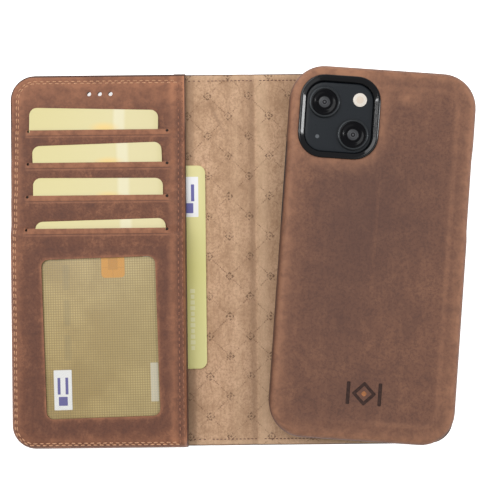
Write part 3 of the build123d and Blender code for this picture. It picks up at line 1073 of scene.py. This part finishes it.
slot_turns = (-1.5, 1.5, -0.45, 1.25)
for number, degrees in enumerate(slot_turns, 1):
    make_card(
        f"slot_card_{number}_piece", f"card_{number}", f"slot_card_{number}", math.radians(degrees),
        slot_card_material(number),
    )
make_card("window_card_piece", "id_card", "window_card", id_card_turn, id_card_material)
make_card("side_card_piece", "side_card", "side_pocket_card", 0.0, side_card_material)


def make_chip():
    """Contact plate of the card in the window, with its separating lines pressed in."""
    low, high = span("id_card_chip")
    centre = ((low[0] + high[0]) / 2, (low[1] + high[1]) / 2)
    n = Nodes("contact_gold")
    rows = (((0, 0), (0.25, 12.0)), ((0, 2.1), (9.0, 0.25)), ((0, -2.1), (9.0, 0.25)), ((0, 0), (4.0, 6.0)))
    lines = patches(n, card_frame(n, centre, id_card_turn), rows, 0.08, 0.1)
    tone = n.tint((0.64, 0.30, 0.045), lines, 0.35, (0.36, 0.16, 0.03))
    n.finish(tone, 0.45, n.bump(lines, 4e-5, 0.5), Metallic=0.25)
    outline = rounded_outline((9.6, 12.6), 1.5, centre, id_card_turn, 6)
    chip = prism("contact_chip", outline, low[2], high[2] + 0.03, n.material)
    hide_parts("id_card_chip")
    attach(chip, "window_card")


make_chip()

# ---- turned and swept shapes for the case and the phone; z counts from the case's floor --------


def swept(name, size, radius, centre, profile, materials, ends, steps, across=1, along=1):
    """Rounded rectangle swept with a profile of (inset, z). ends: 0 joins the last loop to the first,
    1 fills the last loop, 2 fills the first one too."""
    middle = in_case(*centre)
    verts = []
    for inset, z in profile:
        inner = (size[0] - 2 * inset, size[1] - 2 * inset)
        loop = rounded_outline(inner, max(radius - inset, 0.4), middle, case_turn, steps, across, along)
        verts += [(x, y, case_floor + z) for x, y in loop]
    loops = len(profile)
    count = len(verts) // loops
    faces = walls(count, loops, closed=ends == 0) + caps(count, loops)[::-1][:ends]
    return new_object(name, verts, faces, materials)


def arc_profile(centre, radius, steps):
    """Points of (inset, z) on the quarter of an arc from its outermost point to its highest."""
    points = []
    for step in range(steps + 1):
        angle = math.radians(180 - 90 * step / steps)
        points.append((centre[0] + radius * math.cos(angle), centre[1] + radius * math.sin(angle)))
    return points


def lathe(name, centre, profile, material, steps):
    """Closed turned part from (radius, z) points, standing on the case's frame."""
    middle = in_case(*centre)
    verts = []
    for radius, z in profile:
        verts += [(x, y, case_floor + z) for x, y in circle_outline(middle, radius, steps)]
    faces = walls(steps, len(profile)) + caps(steps, len(profile))
    piece = new_object(name, verts, faces, [material])
    fix_normals(piece)
    sharp_by_angle(piece, 40)
    return piece


def case_extent(node):
    """Lowest and highest level of a node, counted from the case's floor."""
    low, high = span(node)
    return low[2] - case_floor, high[2] - case_floor


case_size, case_radius = (76.7, 153.3), 14.15
rim_z, case_top = case_extent("case_leather")
phone_back = case_extent("phone_back_glass")[1]
shell_top, ring_top = case_extent("camera_guard_ring")
island_top = case_extent("camera_island")[1]
bezel_top = case_extent("lens_bezels")[1]
wrap_thickness = 0.95
ring_centre = (-17.8, 55.5)
ring_size, ring_radius = (33.0, 34.0), 10.0
island_size, island_radius = (27.6, 28.6), 7.3
lens_centres = ((-24.2, 61.3), (-11.7, 48.7))
flash_centre = (-9.7, 63.2)
mic_centre = (-26.2, 47.2)
cutout_z = 4.825
cutout_height = 5.2
key_y = 28.5
emblem_y = -56.6
emblem_depth = 0.40
ridge = ((5.0, 0.10), (6.5, 0.04), (7.5, 0.0), (8.5, 0.03), (9.5, 0.10), (11.0, 0.15), (13.0, 0.16))
inner_insets = (16, 20, 24, 28, 32, 35, 37.4)


def wall_cutter(length, depths, place):
    """Rounded bar through the case's wall; place turns (depth, along) into the case's coordinates."""
    outline = rounded_outline((length, cutout_height), 2.4, (0, 0), 0, 6)
    verts = []
    for depth in depths:
        for along, z in outline:
            x, y = in_case(*place(depth, along))
            verts.append((x, y, case_floor + cutout_z + z))
    count = len(outline)
    faces = caps(count, 2) + walls(count, 2)
    cutter = new_object("cut", verts, faces, [case_leather_look], smooth_faces=False)
    fix_normals(cutter)
    return cutter


def cut_case_openings(leather):
    """Camera opening, the key openings in both long sides and the connector opening at the lower end."""
    size = (ring_size[0] - 0.1, ring_size[1] - 0.1)
    hole = rounded_outline(size, ring_radius, in_case(*ring_centre), case_turn, 10)
    cut(leather, [
        prism("hole", hole, 8, 30, edge_paint),
        wall_cutter(33.0, (34.0, 44.0), lambda depth, along: (-depth, key_y + along)),
        wall_cutter(33.0, (34.0, 44.0), lambda depth, along: (depth, key_y + along)),
        wall_cutter(44.0, (72.0, 84.0), lambda depth, along: (along, -depth)),
    ])


def press_emblem(leather):
    """Presses two nested diamonds between two bars into the back."""
    marks = []
    for k in range(4):
        angle = math.radians(45 + 90 * k)
        centre = (2.9 * math.cos(angle), 2.9 * math.sin(angle))
        marks.append((centre, (1.35, 7.0), angle, pressed_leather))
    marks.append(((0, 0), (1.9, 1.9), math.radians(45), pressed_middle))
    for x in (-6.5, 6.5):
        marks.append(((x, 0), (1.5, 9.4), 0.0, pressed_leather))
    bottom = case_floor + case_top - emblem_depth
    for (x, y), size, turn, look in marks:
        outline = rounded_outline(size, min(size) * 0.3, in_case(x, emblem_y + y), case_turn + turn, 2)
        cut(leather, [prism("press", outline, bottom, case_floor + 16, look)])


def pinch(obj):
    """Draws the leather in a little over the button openings in both long sides."""
    for vertex in obj.data.vertices:
        u, v = from_case(vertex.co.x / MM, vertex.co.y / MM)
        near = float(smooth((abs(u) - 32.0) / 5.0) * smooth((18.5 - abs(v - key_y)) / 3.0))
        u -= math.copysign(0.30 * near, u)
        x, y = in_case(u, v)
        vertex.co.x, vertex.co.y = x * MM, y * MM


def make_case_leather():
    profile = [(0.45, rim_z), (0.15, rim_z + 0.15), (0.0, rim_z + 0.5)]
    profile += [(0.0, 2.4), (0.0, 4.8), (0.0, 6.6), (0.05, 7.8)]
    profile += arc_profile((3.3, case_top - 3.3), 3.25, 8)
    profile += [(inset, case_top - drop) for inset, drop in ridge]
    profile += [(inset, case_top - ridge[-1][1]) for inset in inner_insets]
    materials = [case_leather_look, edge_paint, pressed_leather, pressed_middle]
    leather = swept("case_leather_wrap", case_size, case_radius, (0, 0), profile, materials, 1, 12, 10, 30)
    pinch(leather)
    fix_normals(leather)
    thicken(leather, wrap_thickness)
    cut_case_openings(leather)
    press_emblem(leather)
    sharp_by_angle(leather, 42)
    set_attribute(leather, "wear_and_highlight", case_wear_and_highlight)
    set_attribute(leather, "deep", case_deep)
    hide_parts("case_leather")
    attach(leather, "phone_case")


def case_deep(x, y, z):
    """Where the case's leather is darker: its middle, a band near the lower end, and painted shade along its
    sides where the leather turns down.
    """
    u, v = from_case(x, y)
    # painted shade on the sides, darkest at the outline
    sides = 0.9 * smooth((outside(u, v, case_size, case_radius) + 0.9) / 0.8)
    deep = 0.75 * np.exp(-((u + 9) / 17) ** 2 - ((v - 10) / 42) ** 2)
    deep += 0.4 * np.exp(-((u - 12) / 22) ** 2 - ((v - 22) / 26) ** 2)
    deep += 0.16 * smooth((48.8 - x) / 1.6) * smooth((u + 31) / 6) * smooth((-8 - v) / 14)
    return np.clip(deep + sides + 0.5 * np.exp(-((u - 2) / 12) ** 2 - ((v + 57) / 9) ** 2), 0, 1)


def case_wear_and_highlight(x, y, z):
    """Where the case's leather is paler: a painted highlight on the rounded shoulder and on the ridge,
    stronger towards the right side, together with rubbed leather there; rubbed paler in the margin, scuffs
    at the upper end, and round the cameras.
    """
    u, v = from_case(x, y)
    out = outside(u, v, case_size, case_radius)
    level = z - case_floor
    # painted highlight with rubbed leather on the shoulder, and on the ridge stronger towards the right
    edge = bell(out, -2.1, 1.3) * smooth((level - 8) / 2)
    on_ridge = bell(out, -8.0, 1.1) * (level > 10) * (0.35 + 0.65 * smooth((u + 6) / 20))
    ring = outside(u - ring_centre[0], v - ring_centre[1], ring_size, ring_radius)
    scuff = 0.5 * bell(v, 66.0, 2.4) * smooth((u - 4) / 3) * smooth((26 - u) / 16)
    scuff += 0.5 * bell(v, 65.0, 2.0) * bell(u, 9.0, 3.5)
    margin = scuff + 0.34 * smooth((out + 8.5) / 5.0) * smooth((-0.2 - out) / 0.9)
    return np.clip(0.42 * edge + 0.45 * on_ridge + margin + 0.65 * bell(ring, 0.8, 2.6), 0, 1)


# colour, roughness, texture grain, its depth in metres and strength, and further shader values
PLAIN_LOOKS = {
    "ring_gloss": ((0.003, 0.003, 0.004), 0.12, 500, 1e-5, 0.05, {"Specular_IOR_Level": 0.45}),
    "island_satin": ((0.011, 0.014, 0.018), 0.30, 1500, 2e-5, 0.2, {"Specular_IOR_Level": 0.35}),
    "bezel_metal": ((0.040, 0.044, 0.048), 0.30, 900, 1e-5, 0.1, {"Metallic": 0.6}),
    "lens_black": ((0.003, 0.003, 0.004), 0.16, 500, 1e-5, 0.05, {"Specular_IOR_Level": 0.15}),
    "flash_cream": ((0.74, 0.68, 0.60), 0.35, 700, 3e-5, 0.3, {}),
    "flash_core": ((0.70, 0.60, 0.50), 0.3, 700, 3e-5, 0.3, {}),
    "microphone_grey": ((0.085, 0.095, 0.105), 0.5, 1200, 4e-5, 0.3, {}),
    "board_look": ((0.42, 0.34, 0.25), 0.85, 500, 1e-4, 0.5, {}),
    "textile_look": ((0.07, 0.045, 0.036), 0.9, 1800, 1e-4, 0.6, {"Sheen_Weight": 0.2}),
    "magnet_look": ((0.62, 0.62, 0.64), 0.28, 900, 1e-5, 0.2, {"Metallic": 1.0}),
    "plate_look": ((0.50, 0.51, 0.53), 0.35, 900, 2e-5, 0.2, {"Metallic": 1.0}),
    "shell_look": ((0.014, 0.014, 0.015), 0.48, 1600, 4e-5, 0.35, {}),
    "felt_look": ((0.045, 0.045, 0.05), 0.95, 1800, 1e-4, 0.6, {"Sheen_Weight": 0.3}),
    "phone_metal": ((0.045, 0.055, 0.070), 0.32, 1400, 1e-5, 0.15, {"Metallic": 0.9}),
    "phone_glass": ((0.006, 0.007, 0.009), 0.07, 500, 1e-5, 0.05, {"Specular_IOR_Level": 0.6}),
}
looks = {name: plain_material(name, *row[:-1], **row[-1]) for name, row in PLAIN_LOOKS.items()}
pressed_leather = paint_material("pressed_leather", (0.040, 0.021, 0.017))
pressed_middle = paint_material("pressed_middle", (0.36, 0.15, 0.06))


def lens_material():
    """Inner lens: dark rings round a grey middle."""
    n = Nodes("inner_lens")
    nearest = n.least(*(n.length(*card_frame(n, in_case(*centre), 0.0)) for centre in lens_centres))
    grey, black, core = (0.050, 0.052, 0.056), (0.008, 0.008, 0.009), (0.10, 0.10, 0.11)
    stops = [(0.0, core), (0.12, core), (0.20, black), (0.36, black)]
    stops += [(0.46, core), (0.56, grey), (0.90, grey), (0.97, black)]
    tone = n.ramp(n.math("DIVIDE", nearest, 2.35), stops)
    return n.finish(tone, 0.25, n.bump(n.noise(500, 2), 1e-5, 0.05), Specular_IOR_Level=0.3)


inner_lens = lens_material()

make_case_leather()


def make_guard_ring():
    """Raised ring with a rounded outer edge and a facet that falls to its inside."""
    lip = 2.2
    slope = math.tan(math.radians(26.0))
    facet_start, facet_drop = 1.25, 0.10
    profile = [(0.0, shell_top), (0.0, ring_top - 0.9)]
    profile += arc_profile((0.7, ring_top - 0.7), 0.7, 5)
    profile += [(1.05, ring_top - 0.02), (1.2, ring_top - 0.07)]
    for inset in (facet_start, 1.32, 2.1, 2.17):
        profile.append((inset, ring_top - facet_drop - slope * (inset - facet_start)))
    profile += [(2.45, ring_top - 0.75), (2.62, ring_top - 1.2), (2.70, ring_top - 1.8)]
    profile += [(lip + 0.5, island_top - 0.3), (lip, shell_top)]
    look = [looks["ring_gloss"]]
    ring = swept("camera_ring_piece", ring_size, ring_radius, ring_centre, profile, look, 0, 12)
    fix_normals(ring)
    sharp_by_angle(ring, 50)
    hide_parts("camera_guard_ring")
    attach(ring, "phone_case")


def make_island():
    profile = [(0.0, phone_back), (0.0, island_top - 0.5)]
    profile += arc_profile((0.5, island_top - 0.5), 0.5, 4)
    profile += [(inset, island_top) for inset in (2.0, 5.0, 9.0, 12.5)]
    look = [looks["island_satin"]]
    island = swept("camera_island_piece", island_size, island_radius, ring_centre, profile, look, 2, 10)
    fix_normals(island)
    sharp_by_angle(island, 50)
    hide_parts("camera_island")
    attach(island, "phone_case")


def make_lens(number, centre):
    """Bezel, cover glass and inner lens of one camera."""
    top, glass_top = bezel_top, bezel_top - 0.3
    wall = [(6.3, island_top), (6.3, top - 0.35), (6.15, top - 0.08), (5.95, top), (5.6, top - 0.02)]
    wall += [(5.42, top - 0.2), (5.42, island_top)]
    dome_steps = ((5.4, 0.04), (5.25, 0), (4.1, 0), (3.9, 0.12), (3.1, 0.14), (2.95, 0.28), (2.4, 0.3))
    eye_steps = ((2.35, 0.5), (2.35, 0.26), (2.0, 0.19), (1.2, 0.14), (0.4, 0.12))
    dome = [(5.4, island_top)] + [(radius, glass_top - drop) for radius, drop in dome_steps]
    eye = [(radius, glass_top - drop) for radius, drop in eye_steps]
    bezel = lathe(f"lens_bezel_{number}", centre, wall, looks["bezel_metal"], 64)
    glass = lathe(f"lens_{number}", centre, dome, looks["lens_black"], 64)
    element = lathe(f"lens_element_{number}", centre, eye, inner_lens, 40)
    for piece, node, slot_name in (
        (bezel, "lens_bezels", "phone_metal"),
        (glass, "lens_glasses", "lens_glass"),
        (element, "lens_elements", "lens_inside"),
    ):
        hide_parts(node)
        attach(piece, "phone_case")


def make_flash_and_microphone():
    top = island_top
    dome = [(2.8, top), (2.8, top + 0.15), (2.6, top + 0.24), (1.5, top + 0.25)]
    bead = [(1.5, top), (1.5, top + 0.27), (1.2, top + 0.29)]
    disc = [(0.8, top - 0.4), (0.8, top + 0.02)]
    flash = lathe("flash_piece", flash_centre, dome, looks["flash_cream"], 40)
    core = lathe("flash_core_piece", flash_centre, bead, looks["flash_core"], 32)
    mic = lathe("microphone_piece", mic_centre, disc, looks["microphone_grey"], 24)
    for piece in (flash, core, mic):
        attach(piece, "phone_case")
    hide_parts("flash_lens")


make_guard_ring()
make_island()
for number, centre in enumerate(lens_centres, 1):
    make_lens(number, centre)
make_flash_and_microphone()

# ---- materials of the CAD parts that stay -----------------------------------------------------


def film_material():
    """Clear vinyl with a slight drift of tone and a fine texture."""
    n = Nodes("window_film")
    fine = n.noise(900, 2)
    n.material.surface_render_method = "BLENDED"
    tone = n.tint((0.80, 0.78, 0.66), fine, 0.3, (0.90, 0.88, 0.80))
    return n.finish(tone, 0.18, n.bump(fine, 2e-5, 0.2), Alpha=0.05, Specular_IOR_Level=0.5)


slot_pockets = tuple(f"slot_pocket_{number}" for number in (1, 2, 3, 4))
nodes_by_look = (
    (looks["board_look"], ("back_board", "front_board", "spine_stiffener")),
    (looks["magnet_look"], ("holding_magnets",)),
    (looks["textile_look"], ("side_pocket_backing", "window_pocket", *slot_pockets)),
    (film_material(), ("id_window_film",)),
    (looks["shell_look"], ("case_shell",)),
    (looks["plate_look"], ("steel_plate",)),
    (looks["felt_look"], ("case_liner",)),
    (looks["phone_metal"], ("phone_frame", "power_button", "volume_up_button", "volume_down_button")),
    (looks["phone_glass"], ("phone_screen", "phone_back_glass")),
)
for material, nodes in nodes_by_look:
    for node in nodes:
        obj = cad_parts[node]
        obj.data.materials.clear()
        obj.data.materials.append(material)

# ---- floor, light and camera ------------------------------------------------------------------


def place_object(name, data, place, turn):
    obj = bpy.data.objects.new(name, data)
    obj.location = place
    obj.rotation_euler = turn
    bpy.context.scene.collection.objects.link(obj)
    return obj


def make_stage():
    n = Nodes("pale_floor")
    tone = n.mix(n.noise(3, 2), (0.90, 0.90, 0.90), (0.93, 0.93, 0.93))
    n.finish(tone, 0.9, Emission_Color=(1, 1, 1, 1), Emission_Strength=0.85)
    half = 12.0
    corners = [(-half, -half, 0), (half, -half, 0), (half, half, 0), (-half, half, 0)]
    mesh = bpy.data.meshes.new("floor")
    mesh.from_pydata(corners, [], [(0, 1, 2, 3)])
    mesh.materials.append(n.material)
    floor = place_object("floor", mesh, (0, 0, -0.0003), (0, 0, 0))


def area_light(name, place, size, power):
    """Rectangular light aimed at the middle of the wallet."""
    light = bpy.data.lights.new(name, "AREA")
    light.shape = "RECTANGLE"
    light.size, light.size_y = size
    light.energy = power
    place_object(name, light, place, (-Vector(place)).to_track_quat("-Z", "Y").to_euler())


def make_world():
    world = bpy.data.worlds.new("studio")
    world.use_nodes = True
    background = world.node_tree.nodes["Background"].inputs
    background["Color"].default_value = (1, 1, 1, 1)
    background["Strength"].default_value = 0.33
    bpy.context.scene.world = world


def make_camera_view():
    """Straight above the wallet, rolled slightly clockwise."""
    distance = 0.365
    seen_width = 0.2109
    camera = bpy.data.cameras.new("camera")
    camera.sensor_width = 36
    camera.lens = 36 * distance / seen_width
    camera.clip_start = 0.01
    place = (0.0076, 0.0041, lining_top * MM + distance)
    bpy.context.scene.camera = place_object("camera", camera, place, (0, 0, math.radians(-0.6)))


make_stage()
area_light("key", (-0.35, 0.45, 0.85), (0.7, 0.7), 4.8)
area_light("fill", (0.55, -0.25, 0.80), (0.8, 0.8), 1.2)
area_light("strip_right", (0.62, 0.12, 0.43), (0.06, 0.6), 1.7)
area_light("strip_left", (-0.62, 0.20, 0.735), (0.06, 0.6), 1.7)
make_world()
bpy.context.scene.view_settings.view_transform = "Standard"
make_camera_view()
